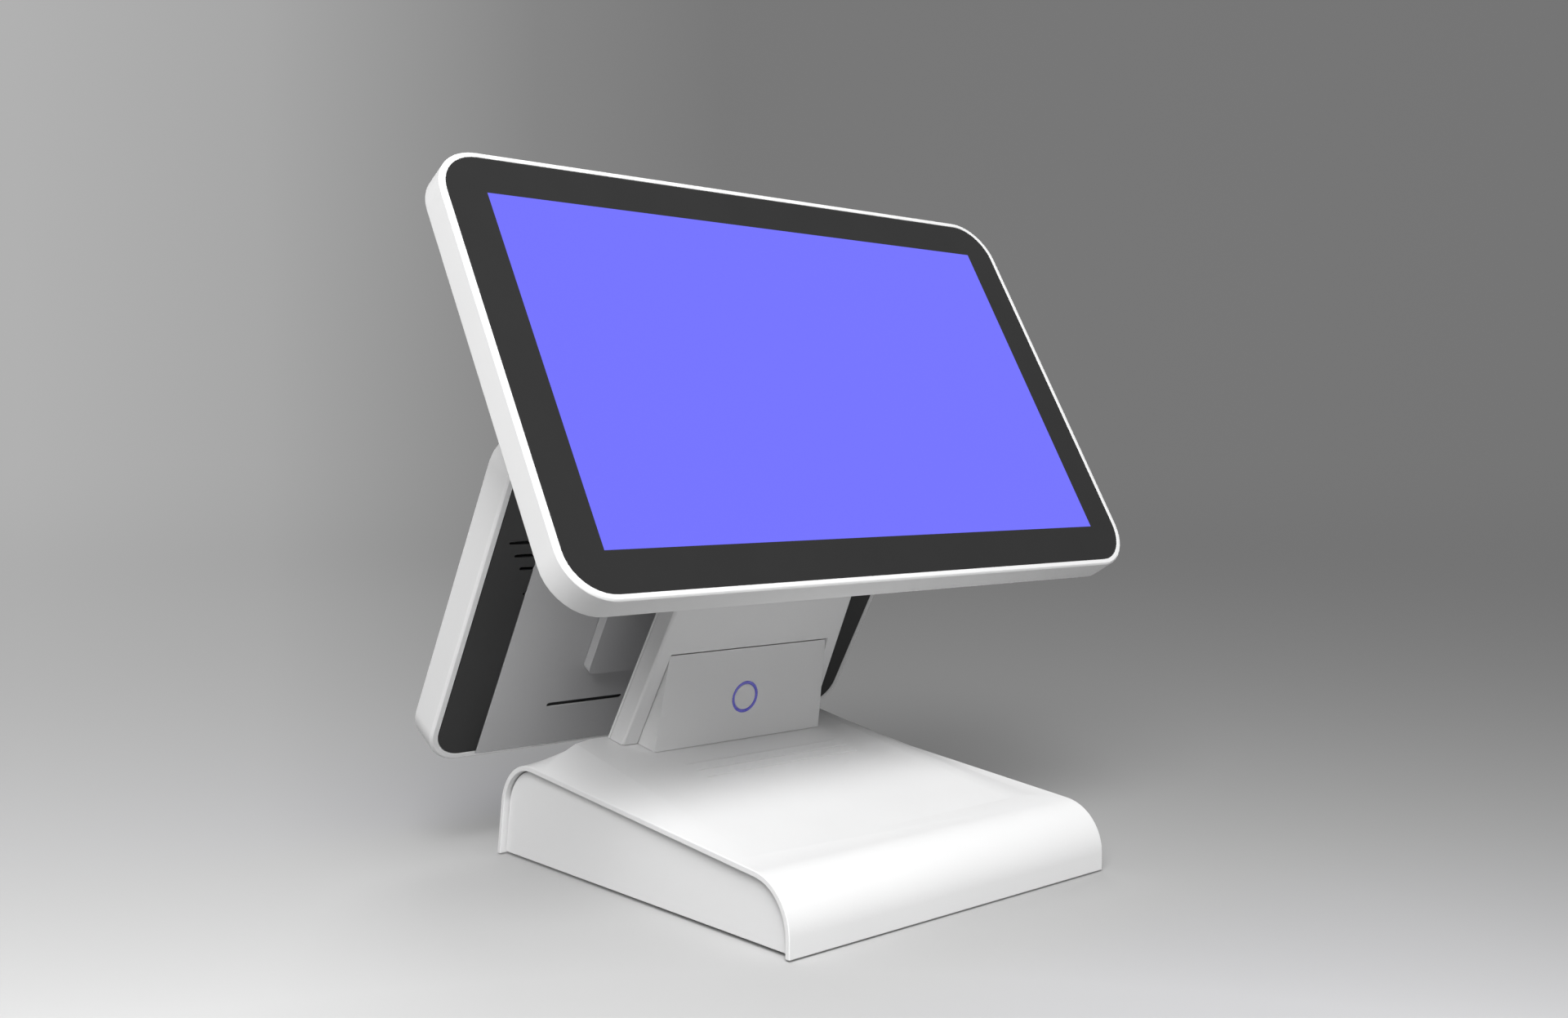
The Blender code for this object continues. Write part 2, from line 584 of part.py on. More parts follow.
def button_housing(base, white, colours):
    def wedge(wall, back=0.0):
        outline = housing_outline(wall)
        rings = []
        for side in (-1, 1):
            ring = []
            for index, (y, z) in enumerate(outline):
                half = housing_half(z - HOUSING_FOOT_Z) - wall
                ring.append((side * half, y + (back if index in (1, 2) else 0), z))
            rings.append(ring)
        return stack(rings)

    shell = place("button_housing", wedge(0), white, base)
    room = housing_outline(HOUSING_WALL)
    top = room[0][1] + 0.036
    inner = HOUSING_HALF - 0.006
    lean = math.tan(HOUSING_LEAN)
    tool(along_x([room[0], (room[1][0] + 0.01, room[0][1] + 0.003),
                  (room[1][0] + 0.01 - 0.036 * math.tan(NECK_LEAN), top),
                  (room[0][0] - (top - room[0][1]) * lean, top)], -inner, inner), shell)
    face_y = HOUSING_FOOT_Y - BUTTON_RISE * math.sin(HOUSING_LEAN)
    face_z = HOUSING_FOOT_Z + BUTTON_RISE * math.cos(HOUSING_LEAN)
    button = empty("button_axis", base, (0, face_y, face_z), HOUSING_LEAN)

    def disc(radius, low, high, steps=32):
        return stack([[(x, y, z) for x, z in circle(radius, steps)] for y in (low, high)])

    cutter = disc(RING_OUTER + GAP / 2, -0.005, HOUSING_WALL + 0.004)
    helper = tool(cutter, shell)
    helper.location = (0, face_y, face_z)
    helper.rotation_euler = (HOUSING_LEAN, 0, 0)
    outer = [(x, z) for x, z in circle(RING_OUTER, 32)]
    inner_ring = [(x, z) for x, z in circle(RING_INNER, 32)]
    rings = [(outer, -0.0002), (outer, RING_DEPTH), (inner_ring, RING_DEPTH), (inner_ring, -0.0002)]
    place("button_ring", stack([[(x, y, z) for x, z in loop] for loop, y in rings], closed=True),
          colours["light"], button, smooth=True)
    cap = place("power_button", disc(BUTTON_RADIUS, -0.0001, 0.0028), white, button, smooth=True)
    stem_end = 0.0060
    tool(disc(0.0020, 0.0020, stem_end, 12), cap, "UNION")
    board_y = stem_end + BUTTON_TRAVEL + GAP
    switch = place("switch_board", box((-0.014, board_y, -0.007), (0.014, board_y + 0.0012, 0.007)),
                   colours["board"], button)
    for x in (-0.0115, 0.0115):
        tool(box((x - 0.0015, HOUSING_WALL + GAP, -0.005), (x + 0.0015, board_y + 0.0006, 0.005)),
             switch, "UNION")


# ---- displays -----------------------------------------------------------------------------------------
def display_rings(size, section):
    """Sweep (inset, depth) points around a display's rounded outline."""
    rings = []
    for inset, depth in section:
        outline = rounded_rectangle(size["half"] - inset, inset, size["height"] - inset,
                                    size["corner"] - inset)
        rings.append([(x, depth, z) for x, z in outline])
    return rings


def display_plate(size, inset, low, high, corner=None):
    radius = max(0.002, size["corner"] - inset if corner is None else corner)
    outline = rounded_rectangle(size["half"] - inset, inset, size["height"] - inset, radius)
    return along_y(outline, low, high)


def display(kind, size, holder, front, side, colours, slits):
    """Every fixed layer of one display.  front is the glass face's y, side is +1 if its back looks to +Y."""
    depth = size["depth"]
    body = empty(f"{kind}_layers", holder, (0, front[0], front[1]))
    body.rotation_euler = (0, 0, 0 if side > 0 else math.pi)
    glass_back = GLASS_RECESS + GLASS_WALL
    ledge = glass_back + GAP
    section = [(0, RIM_EDGE), (RIM_EDGE, 0), (RIM_WIDTH, 0), (RIM_WIDTH, ledge), (LEDGE_REACH, ledge),
               (LEDGE_REACH, ledge + LEDGE_WALL), (RIM_INNER, ledge + LEDGE_WALL),
               (RIM_INNER, depth - RIM_BACK_LIP_DEPTH), (RIM_BACK_LIP, depth - RIM_BACK_LIP_DEPTH),
               (RIM_BACK_LIP, depth), (RIM_BACK_EDGE, depth), (0, depth - RIM_BACK_EDGE)]
    frame = place(f"{kind}_frame", stack(display_rings(size, section), closed=True), colours["white"], body,
                  smooth=True)
    place(f"{kind}_glass", display_plate(size, RIM_WIDTH + GAP, GLASS_RECESS, glass_back), colours["glass"], body)
    middle = size["height"] / 2
    half = size["screen_half"] + LCD_MARGIN
    tall = size["screen_height"] / 2 + LCD_MARGIN
    lcd_front = glass_back + GAP
    lcd_back = lcd_front + LCD_DEPTH
    place(f"{kind}_lcd", box((-half, lcd_front, middle - tall), (half, lcd_back, middle + tall)),
          colours["screen"], body)
    chassis_front = lcd_back + GAP
    place(f"{kind}_chassis", display_plate(size, RIM_INNER + GAP, chassis_front, chassis_front + CHASSIS_WALL),
          colours["steel"], body)
    board_y = chassis_front + CHASSIS_WALL + GAP
    board = place(f"{kind}_control_board", box((-0.045, board_y + 0.0012, middle - 0.052),
                                               (0.045, board_y + 0.0012 + BOARD_WALL, middle - 0.012)),
                  colours["board"], body)
    for x in (-0.040, 0.040):
        for z in (middle - 0.048, middle - 0.016):
            tool(box((x - 0.002, board_y, z - 0.002), (x + 0.002, board_y + 0.002, z + 0.002)), board, "UNION")
    back = depth - BACK_WALL
    cover_half = size["cover_half"]
    panel = place(f"{kind}_back_panel", display_plate(size, RIM_BACK_LIP + GAP, back, depth),
                  colours["black"], body)
    reach = RIM_BACK_EDGE + (RIM_BACK_LIP - RIM_BACK_EDGE) / 3
    pocket = box((-cover_half - GAP, depth - COVER_RECESS - GAP, -0.01),
                 (cover_half + GAP, depth + 0.01, size["height"] + 0.01))
    tool(pocket, panel)
    notch = box((-cover_half - GAP, depth - COVER_RECESS - GAP, reach - GAP),
                (cover_half + GAP, depth + 0.01, size["height"] - reach + GAP))
    tool(notch, frame)
    cover = place(f"{kind}_centre_cover", box((-cover_half, depth - COVER_RECESS, reach),
                                              (cover_half, depth, size["height"] - reach)), colours["grey"], body)
    for sign in (-1, 1):
        for start, end, z, width, on_cover in slits:
            cut = [((start + end) / 2 * sign + x, z + dz) for x, dz in slot(abs(end - start) / 2, width)]
            tool(along_y(cut, back - 0.002, depth + 0.002), cover if on_cover else panel)


def hinge(kind, fixed, plate, colours):
    """Bracket, shaft and nuts on the fixed side.  The leaf is made by the caller."""
    lug_inner = LEAF_HALF + 2 * GAP
    steps = ROUND_STEPS
    bracket = place(f"{kind}_hinge_bracket", plate["solid"](), colours["steel"], fixed)
    for sign in (-1, 1):
        low = lug_inner if sign > 0 else -lug_inner - LUG_WALL
        tool(along_x(plate["outline"], low, low + LUG_WALL), bracket, "UNION")
    rings = [[(x, y, z) for y, z in circle(SHAFT_RADIUS + GAP, steps)] for x in (-0.06, 0.06)]
    tool(stack(rings), bracket)
    reach = lug_inner + LUG_WALL + 2 * GAP + NUT_WALL + 0.002
    rings = [[(x, y, z) for y, z in circle(SHAFT_RADIUS, steps)] for x in (-reach, reach)]
    place(f"{kind}_hinge_shaft", stack(rings), colours["zinc"], fixed, smooth=True)
    for name, sign in (("left", -1), ("right", 1)):
        inner = lug_inner + LUG_WALL + GAP
        low, high = (inner, inner + NUT_WALL) if sign > 0 else (-inner - NUT_WALL, -inner)
        place(f"{kind}_hinge_nut_{name}", washer(hexagon(NUT_RADIUS), circle(SHAFT_RADIUS + GAP), low, high),
              colours["zinc"], fixed)


def main():
    clear_scene()
    colours = {
        "white": finish("white_plastic", (0.82, 0.82, 0.82), 0.42),
        "grey": finish("light_grey_plastic", (0.62, 0.62, 0.62), 0.5),
        "black": finish("black_plastic", (0.012, 0.012, 0.012), 0.5),
        "gloss": finish("black_socket_plastic", (0.01, 0.01, 0.01), 0.3),
        "glass": finish("cover_glass", (0.03, 0.03, 0.03), 0.08),
        "screen": finish("lcd_panel", (0.19, 0.19, 1.0), 0.3),
        "light": finish("blue_light_guide", (0.06, 0.05, 0.28), 0.3),
        "steel": finish("zinc_plated_steel", (0.45, 0.46, 0.47), 0.4, 1.0),
        "zinc": finish("bright_steel", (0.6, 0.6, 0.6), 0.3, 1.0),
        "aluminium": finish("aluminium", (0.7, 0.7, 0.72), 0.35, 1.0),
        "board": finish("green_board", (0.02, 0.16, 0.06), 0.5),
        "rubber": finish("black_rubber", (0.015, 0.015, 0.015), 0.8),
    }
    base = empty("base", None, (0, -rear_most() / 2, FOOT_GAP))
    base_shell(base, colours["white"])
    side_panels(base, colours["white"])
    floor = base_floor(base, colours["steel"], colours["rubber"], colours["zinc"])
    electronics(base, floor, colours)
    port_bay(base, colours)
    neck = empty("neck", base, (0, NECK_FOOT_Y, plateau(NECK_FOOT_Y)), NECK_LEAN)
    neck_covers(neck, colours["white"])
    neck_frame(base, floor, colours["steel"], colours["zinc"])
    button_housing(base, colours["white"], colours)
    main_display(base, neck, colours)
    rear_display(base, neck, colours)


def main_display(base, neck, colours):
    y, z = in_neck(NECK_DEPTH / 2, MAIN_AXIS_ALONG)
    axis = empty("main_tilt_axis", base, (0, y, z), -MAIN_TILT)
    front = (-MAIN_AXIS_BEHIND - MAIN["depth"], -MAIN_AXIS_HEIGHT)
    middle = MAIN["height"] / 2
    under = MAIN["cover_half"] - 0.0020
    slits = [(0.1830 - 0.0055 * row, under, middle + 0.0420 - 0.0082 * row, 0.0019, False) for row in range(3)]
    display("main", MAIN, axis, front, 1, colours, slits)
    # leaf screwed to the display's back: plate, then barrel around the shaft
    back = -MAIN_AXIS_BEHIND + GAP
    leaf = place("main_hinge_leaf", box((-LEAF_HALF, back, -0.030), (LEAF_HALF, back + LEAF_WALL, 0.045)),
                 colours["steel"], axis)
    tool(along_x(circle(BARREL_RADIUS), -LEAF_HALF, LEAF_HALF), leaf, "UNION")
    tool(box((-LEAF_HALF + 0.002, back + 0.001, -0.004), (LEAF_HALF - 0.002, -0.002, 0.004)), leaf, "UNION")
    tool(along_x(circle(SHAFT_RADIUS + GAP), -0.06, 0.06), leaf)
    for name, x, rise in (("a", -0.018, 0.036), ("b", 0.018, 0.036), ("c", -0.018, -0.022), ("d", 0.018, -0.022)):
        top = back + LEAF_WALL + GAP
        rings = [[(px, y2, pz) for px, pz in circle(0.0035, 12, (x, rise))] for y2 in (top, top + 0.002)]
        place(f"main_leaf_screw_{name}", stack(rings), colours["zinc"], axis, smooth=True)

    # bracket on the neck's frame, in the neck's own axes with the hinge at the origin
    fixed = empty("main_hinge_seat", neck, (0, NECK_DEPTH / 2, MAIN_AXIS_ALONG), 0.0)
    face = NECK_FRAME_DEPTH + NECK_FRAME_WALL + GAP - NECK_DEPTH / 2
    top_of_neck = NECK_LENGTH - MAIN_AXIS_ALONG
    low = top_of_neck - 0.030
    plate = {
        "solid": lambda: box((-NECK_FRAME_HALF + 0.002, face, low),
                             (NECK_FRAME_HALF - 0.002, face + 0.0030, -LUG_RADIUS - 0.002)),
        "outline": lug(LUG_RADIUS, (0, -1), LUG_RADIUS + 0.004, LUG_RADIUS),
    }
    hinge("main", fixed, plate, colours)


def rear_display(base, neck, colours):
    y, z = in_neck(REAR_AXIS_BEHIND, REAR_AXIS_ALONG)
    axis = empty("rear_tilt_axis", base, (0, y, z), REAR_TILT)
    cover = REAR_AXIS_GAP + REAR_PAD_PROUD
    low = -REAR["height"] / 2
    under = REAR["cover_half"] - 0.0020
    slits = [(0.1398 - 0.0055 * row, under, -low + 0.0424 - 0.0082 * row, 0.0019, False) for row in range(3)]
    slits.append((REAR["cover_half"] + 0.0020, under, -low + 0.0098, 0.0019, False))
    slits.append((0.0302, 0.0822, -low - 0.0694, 0.0028, True))
    display("rear", REAR, axis, (cover + REAR["depth"], low), -1, colours, slits)
    pad = cover - GAP
    leaf = place("rear_hinge_leaf", along_y(rounded_rectangle(REAR_PAD_HALF, -REAR_PAD_HEIGHT / 2,
                                                               REAR_PAD_HEIGHT / 2, 0.004, 4),
                                            pad - REAR_PAD_PROUD, pad), colours["grey"], axis)
    tool(along_x(circle(BARREL_RADIUS), -LEAF_HALF, LEAF_HALF), leaf, "UNION")
    tool(box((-LEAF_HALF + 0.002, 0.002, -0.005), (LEAF_HALF - 0.002, pad - 0.002, 0.005)), leaf, "UNION")
    tool(along_x(circle(SHAFT_RADIUS + GAP), -0.06, 0.06), leaf)
    for name, x, rise in (("left", -0.050, 0.0), ("right", 0.050, 0.0)):
        top = pad - REAR_PAD_PROUD - GAP
        rings = [[(px, y2, pz) for px, pz in circle(0.0035, 12, (x, rise))] for y2 in (top - 0.002, top)]
        place(f"rear_leaf_screw_{name}", stack(rings), colours["zinc"], axis, smooth=True)

    fixed = empty("rear_hinge_seat", neck, (0, REAR_AXIS_BEHIND, REAR_AXIS_ALONG), 0.0)
    face = NECK_DEPTH + GAP - REAR_AXIS_BEHIND
    plate = {
        "solid": lambda: box((-NECK_FRAME_HALF, face, -0.022), (NECK_FRAME_HALF, face + HINGE_PLATE_WALL, 0.022)),
        "outline": lug(LUG_RADIUS, (-1, 0), -face - 0.001, 2 * LUG_RADIUS),
    }
    hinge("rear", fixed, plate, colours)


main()
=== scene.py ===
import math

import bmesh
import bpy
from mathutils import Matrix, Vector


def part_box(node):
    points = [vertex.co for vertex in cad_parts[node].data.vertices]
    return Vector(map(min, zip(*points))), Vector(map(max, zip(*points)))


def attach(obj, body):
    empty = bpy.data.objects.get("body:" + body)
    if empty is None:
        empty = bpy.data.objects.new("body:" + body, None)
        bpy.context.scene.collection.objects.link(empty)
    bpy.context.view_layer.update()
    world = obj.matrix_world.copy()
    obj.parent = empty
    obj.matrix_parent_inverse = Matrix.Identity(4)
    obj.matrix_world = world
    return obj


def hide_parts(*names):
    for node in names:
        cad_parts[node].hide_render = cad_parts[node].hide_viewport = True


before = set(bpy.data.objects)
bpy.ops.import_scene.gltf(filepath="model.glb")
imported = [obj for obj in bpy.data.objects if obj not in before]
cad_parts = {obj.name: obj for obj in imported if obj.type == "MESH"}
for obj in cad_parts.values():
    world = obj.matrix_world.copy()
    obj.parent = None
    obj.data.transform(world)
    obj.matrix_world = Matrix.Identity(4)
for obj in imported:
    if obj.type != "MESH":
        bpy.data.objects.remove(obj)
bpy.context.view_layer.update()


# ---- Viewpoint ----------------------------------------------------------------------------------------
# A 35 mm lens looks at the terminal from the front left, at about the height of the display's hinge.
# The camera is level but for a small downward pitch, and is placed in the terminal's own frame.
LENS = 34.99
CAMERA_YAW = math.radians(41.43)
CAMERA_PITCH = math.radians(1.94)
CAMERA_ROLL = math.radians(-0.03)
CAMERA_FROM_BASE = Vector((-0.552125, -0.494941, 0.222276))

base_low, base_high = (Vector(corner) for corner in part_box("base_shell"))
viewpoint = bpy.data.cameras.new("viewpoint")
viewpoint.lens = LENS
viewpoint.sensor_width = 36.0
viewpoint.clip_start = 0.01
camera = bpy.data.objects.new("viewpoint", viewpoint)
camera.location = CAMERA_FROM_BASE + Vector((0, base_low.y, 0))
camera.rotation_euler = (Matrix.Rotation(-CAMERA_YAW, 4, "Z")
                         @ Matrix.Rotation(math.pi / 2 - CAMERA_PITCH, 4, "X")
                         @ Matrix.Rotation(CAMERA_ROLL, 4, "Z")).to_euler()
bpy.context.scene.collection.objects.link(camera)
bpy.context.scene.camera = camera


# ---- Base shell and side panels -----------------------------------------------------------------------
# The base is one shell of white plastic, injection moulded with a fine grain, and closed at each end by a
# moulded panel that clips in. The tool rounds every outer edge but leaves the fine grooves on top crisp.
class Value:
    """A node's output that can be used in arithmetic."""

    def __init__(self, graph, socket):
        self.graph = graph
        self.socket = socket

    def _math(self, operation, *values):
        return self.graph.node("ShaderNodeMath", {"operation": operation}, *values)

    def __add__(self, other):
        return self._math("ADD", self, other)

    def __sub__(self, other):
        return self._math("SUBTRACT", self, other)

    def __rsub__(self, other):
        return self._math("SUBTRACT", other, self)

    def __mul__(self, other):
        return self._math("MULTIPLY", self, other)

    def __truediv__(self, other):
        return self._math("DIVIDE", self, other)

    def __rtruediv__(self, other):
        return self._math("DIVIDE", other, self)

    def __gt__(self, other):
        return self._math("GREATER_THAN", self, other)


class Graph:
    """A node tree that is built call by call."""

    def __init__(self, tree):
        self.tree = tree

    def feed(self, socket, value):
        if isinstance(value, Value):
            self.tree.links.new(value.socket, socket)
        elif isinstance(value, tuple) and len(value) == 3 and socket.type == "RGBA":
            socket.default_value = (*value, 1.0)
        else:
            socket.default_value = value

    def node(self, kind, settings, *values, out=0, **named):
        made = self.tree.nodes.new(kind)
        for key, value in settings.items():
            if key == "stops":
                ramp = made.color_ramp
                while len(ramp.elements) < len(value):
                    ramp.elements.new(0.5)
                for element, (position, grey) in zip(ramp.elements, value):
                    element.position = position
                    element.color = (grey, grey, grey, 1.0)
            else:
                setattr(made, key, value)
        for index, value in enumerate(values):
            self.feed(made.inputs[index], value)
        for key, value in named.items():
            self.feed(made.inputs[key.replace("_", " ")], value)
        return Value(self, made.outputs[out])

    def mix(self, mask, low, high):
        """A colour between two others."""
        made = self.node("ShaderNodeMix", {"data_type": "RGBA"}, out=2)
        inputs = made.socket.node.inputs
        for index, value in ((0, mask), (6, low), (7, high)):
            self.feed(inputs[index], value)
        return made

    def spread(self, value, low, high):
        """The value's way from low to high, smoothed, as 0 to 1."""
        return self.node("ShaderNodeMapRange", {"interpolation_type": "SMOOTHSTEP"}, value, low, high)


class Finish(Graph):
    """A material whose shader is fed call by call."""

    def __init__(self, name, roughness=0.5, metallic=0.0, **sockets):
        self.material = bpy.data.materials.new(name)
        self.material.use_nodes = True
        super().__init__(self.material.node_tree)
        self.shader = self.tree.nodes["Principled BSDF"]
        self.set("Roughness", roughness)
        self.set("Metallic", metallic)
        for socket, value in sockets.items():
            self.set(socket.replace("_", " "), value)
        self.place = self.node("ShaderNodeTexCoord", {}, out="Object")

    def set(self, name, value):
        self.feed(self.shader.inputs[name], value)

    def noise(self, size, detail=2.0, stretch=(1, 1, 1)):
        """Noise whose features are about this many metres wide."""
        scaled = self.node("ShaderNodeMapping", {}, Vector=self.place, Scale=stretch)
        return self.node("ShaderNodeTexNoise", {}, Vector=scaled, Scale=1.0 / size, Detail=detail)

    def bump(self, height, distance, strength=1.0):
        self.set("Normal", self.node("ShaderNodeBump", {}, Strength=strength, Distance=distance,
                                     Height=height))

    def edges(self, start=0.52, end=0.60):
        """1 on outer edges that hands and cloths have rubbed, 0 on flat faces and in corners."""
        shape = self.node("ShaderNodeNewGeometry", {}, out="Pointiness")
        return self.spread(shape, start, end)


def moulded(name, colour, shade, roughness=0.46, grain=0.00045, depth=0.00003):
    """Injection-moulded plastic with a fine spark-eroded grain."""
    finish = Finish(name)
    finish.set("Base Color", finish.mix(finish.noise(0.06, 3.0), colour, shade))
    fine = finish.noise(grain, 2.0)
    handled = finish.noise(0.025, 3.0)
    finish.set("Roughness", handled * 0.12 + fine * 0.06 + (roughness - 0.09) - finish.edges() * 0.12)
    finish.bump(fine + finish.noise(grain * 4, 1.0) * 0.4, depth)
    return finish.material


def link(name, bm, material, body, *nodes, slot=None, smooth=34.0):
    """Put a finished bmesh into the scene as a piece that rides on a body and stands for nodes."""
    mesh = bpy.data.meshes.new(name)
    bm.to_mesh(mesh)
    bm.free()
    mesh.materials.append(material)
    mesh.shade_smooth()
    mesh.set_sharp_from_angle(angle=math.radians(smooth))
    piece = bpy.data.objects.new(name, mesh)
    bpy.context.scene.collection.objects.link(piece)
    shading = piece.modifiers.new("flat_faces_stay_flat", "WEIGHTED_NORMAL")
    shading.mode = "FACE_AREA"
    shading.weight = 100
    shading.keep_sharp = True
    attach(piece, body)
    if nodes:
        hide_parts(*nodes)
    return piece


def merged(node):
    """The node's shape as a clean bmesh with planar faces joined."""
    bm = bmesh.new()
    bm.from_mesh(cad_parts[node].data)
    bmesh.ops.remove_doubles(bm, verts=bm.verts, dist=0.00002)
    bmesh.ops.dissolve_limit(bm, angle_limit=math.radians(0.6), verts=bm.verts, edges=bm.edges,
                             delimit={"NORMAL"})
    return bm


def round_edges(bm, width, segments=2, chosen=None):
    """Round the chosen edges whose faces turn by more than 40 degrees."""
    sharp = [edge for edge in bm.edges if len(edge.link_faces) == 2
             and edge.calc_face_angle(0) > math.radians(40) and (chosen is None or chosen(edge))]
    bmesh.ops.bevel(bm, geom=sharp, offset=width, offset_type="OFFSET", affect="EDGES", segments=segments,
                    profile=0.5, material=-1, clamp_overlap=True)


def moulding(node, body, material, slot, width=0.0004, segments=2, chosen=None):
    """The node's shape as a piece whose crisp edges are rounded."""
    bm = merged(node)
    round_edges(bm, width, segments, chosen)
    return link(f"{node}_moulding", bm, material, body, node, slot=slot)


white_plastic = moulded("white_moulded_plastic", (0.83, 0.83, 0.83), (0.79, 0.79, 0.792))


def outside_grooves(edge):
    """True away from the three fine grooves in front of the button housing."""
    middle = (edge.verts[0].co + edge.verts[1].co) / 2
    return abs(middle.x) > 0.058 or not 0.110 < middle.y - base_low.y < 0.155 or middle.z < 0.045


moulding("base_shell", "base", white_plastic, "white_plastic", 0.0005, 3, chosen=outside_grooves)
for side in ("left", "right"):
    moulding(f"side_panel_{side}", "base", white_plastic, "white_plastic", 0.0005)


# ---- Base floor, feet and fasteners -------------------------------------------------------------------
# A zinc-plated steel floor closes the base and is held by four machine screws with hexagonal recesses.
# Four moulded rubber feet, each with a shallow hollow underneath, are stuck to it.
SOCKET_SHARE = 0.52
SOCKET_DEPTH = 0.55
DOWN = Vector((0, 0, -1))


def drawn_steel(name, colour, roughness, grain, stretch=(1, 1, 1)):
    """Rolled or turned steel with fine lines, stretched along the rolling, and a plated bloom."""
    finish = Finish(name, metallic=1.0)
    lines = finish.noise(grain, 3.0, stretch)
    bloom = finish.noise(0.012, 4.0)
    dark = tuple(part * 0.82 for part in colour)
    finish.set("Base Color", finish.mix(bloom, dark, colour))
    finish.set("Roughness", lines * 0.16 + bloom * 0.14 + (roughness - 0.15))
    finish.bump(lines, 0.00002, 0.6)
    return finish.material


def grow(bm, faces, step):
    """Extrude faces by a step and give back the new points."""
    grown = bmesh.ops.extrude_face_region(bm, geom=faces)["geom"]
    points = [item for item in grown if isinstance(item, bmesh.types.BMVert)]
    bmesh.ops.translate(bm, vec=step, verts=points)
    return points


def topmost(faces):
    return max(faces, key=lambda face: face.calc_center_median().z)


def hexagonal(ring, radius):
    """Move a ring of points about the origin onto a hexagon."""
    for vert in ring:
        angle = math.atan2(vert.co.y, vert.co.x) % math.radians(60) - math.radians(30)
        vert.co.xy = vert.co.xy.normalized() * radius * math.cos(math.radians(30)) / math.cos(angle)


def screw_head(node, body, axis, steps=28):
    """A turned head where its node says, with a chamfered rim and a hexagonal recess."""
    low, high = (Vector(corner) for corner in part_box(node))
    centre = (low + high) / 2
    radius = (high.x - low.x) / 2
    reach = [(vert.co - centre).dot(axis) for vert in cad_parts[node].data.vertices]
    height = max(reach) - min(reach)
    bm = bmesh.new()
    bmesh.ops.create_circle(bm, cap_ends=True, segments=steps, radius=radius)
    grow(bm, bm.faces[:], (0, 0, height))
    bm.normal_update()
    rim = list(topmost(bm.faces).edges)
    bmesh.ops.bevel(bm, geom=rim, offset=radius * 0.16, affect="EDGES", segments=3, profile=0.5, material=-1)
    cap = topmost(face for face in bm.faces if len(face.verts) == steps)
    bmesh.ops.inset_region(bm, faces=[cap], thickness=radius * (0.84 - SOCKET_SHARE))
    hexagonal(cap.verts, radius * SOCKET_SHARE)
    grow(bm, [cap], (0, 0, -min(height * SOCKET_DEPTH, radius * 0.6)))
    bmesh.ops.delete(bm, geom=[cap], context="FACES_ONLY")
    bmesh.ops.recalc_face_normals(bm, faces=bm.faces)
    turn = axis.to_track_quat("Z", "Y").to_matrix().to_4x4()
    bm.transform(Matrix.Translation(centre + axis * min(reach)) @ turn)
    link(f"{node}_head", bm, bright_steel, body, node, slot="bright_steel")


zinc_sheet = drawn_steel("zinc_plated_sheet", (0.50, 0.51, 0.53), 0.38, 0.0006, (0.02, 1, 1))
bright_steel = drawn_steel("bright_turned_steel", (0.62, 0.62, 0.63), 0.26, 0.0003)
rubber = Finish("black_moulded_rubber", 0.8)
rubber_grain = rubber.noise(0.0003, 3.0)
rubber.set("Base Color", rubber.mix(rubber.noise(0.004, 3.0), (0.014, 0.014, 0.014), (0.03, 0.03, 0.029)))
rubber.set("Roughness", rubber_grain * 0.15 + 0.72)
rubber.bump(rubber_grain, 0.00005)

moulding("bottom_plate", "base", zinc_sheet, "zinc_plated_steel", 0.0003, 1)
for place in ("front_left", "front_right", "rear_left", "rear_right"):
    screw_head(f"floor_screw_{place}", "base", DOWN)
    bm = merged(f"foot_{place}")
    under = min(bm.faces, key=lambda f: f.calc_center_median().z)
    bmesh.ops.bevel(bm, geom=list(under.edges), offset=0.0003, affect="EDGES", segments=2, profile=0.5,
                    material=-1)
    under = min((f for f in bm.faces if len(f.verts) > 12), key=lambda f: f.calc_center_median().z)
    bmesh.ops.inset_region(bm, faces=[under], thickness=0.0022, depth=-0.00025)
    link(f"foot_{place}_moulding", bm, rubber.material, "base", f"foot_{place}", slot="black_rubber")


# ---- Inside the base ----------------------------------------------------------------------------------
# The controller board stands on posts above the floor under an extruded heat sink, and a steel block
# keeps the terminal from tipping when its display is pressed.
board = Finish("green_solder_mask", 0.42)
tracks = board.node("ShaderNodeTexVoronoi", {"distance": "MANHATTAN", "feature": "F1"},
                    Vector=board.place, Scale=420.0)
board.set("Base Color", board.mix(tracks > 0.45, (0.012, 0.11, 0.035), (0.03, 0.19, 0.07)))
board.set("Roughness", board.noise(0.003, 3.0) * 0.2 + 0.32)
board.bump(tracks, 0.00003)
cast = Finish("extruded_aluminium", 0.36, 1.0)
lines = cast.noise(0.0005, 2.0, (1, 0.03, 1))
cast.set("Base Color", cast.mix(cast.noise(0.01, 3.0), (0.62, 0.63, 0.65), (0.72, 0.72, 0.74)))
cast.set("Roughness", lines * 0.2 + 0.26)
cast.bump(lines, 0.00002)
for node in ("mainboard", "switch_board", "main_control_board", "rear_control_board"):
    body = node.split("_control")[0] + "_display" if "control" in node else "base"
    moulding(node, body, board.material, "green_board", 0.00015, 1)
moulding("heat_sink", "base", cast.material, "aluminium", 0.0002, 1)
moulding("ballast_plate", "base", zinc_sheet, "zinc_plated_steel", 0.0008)


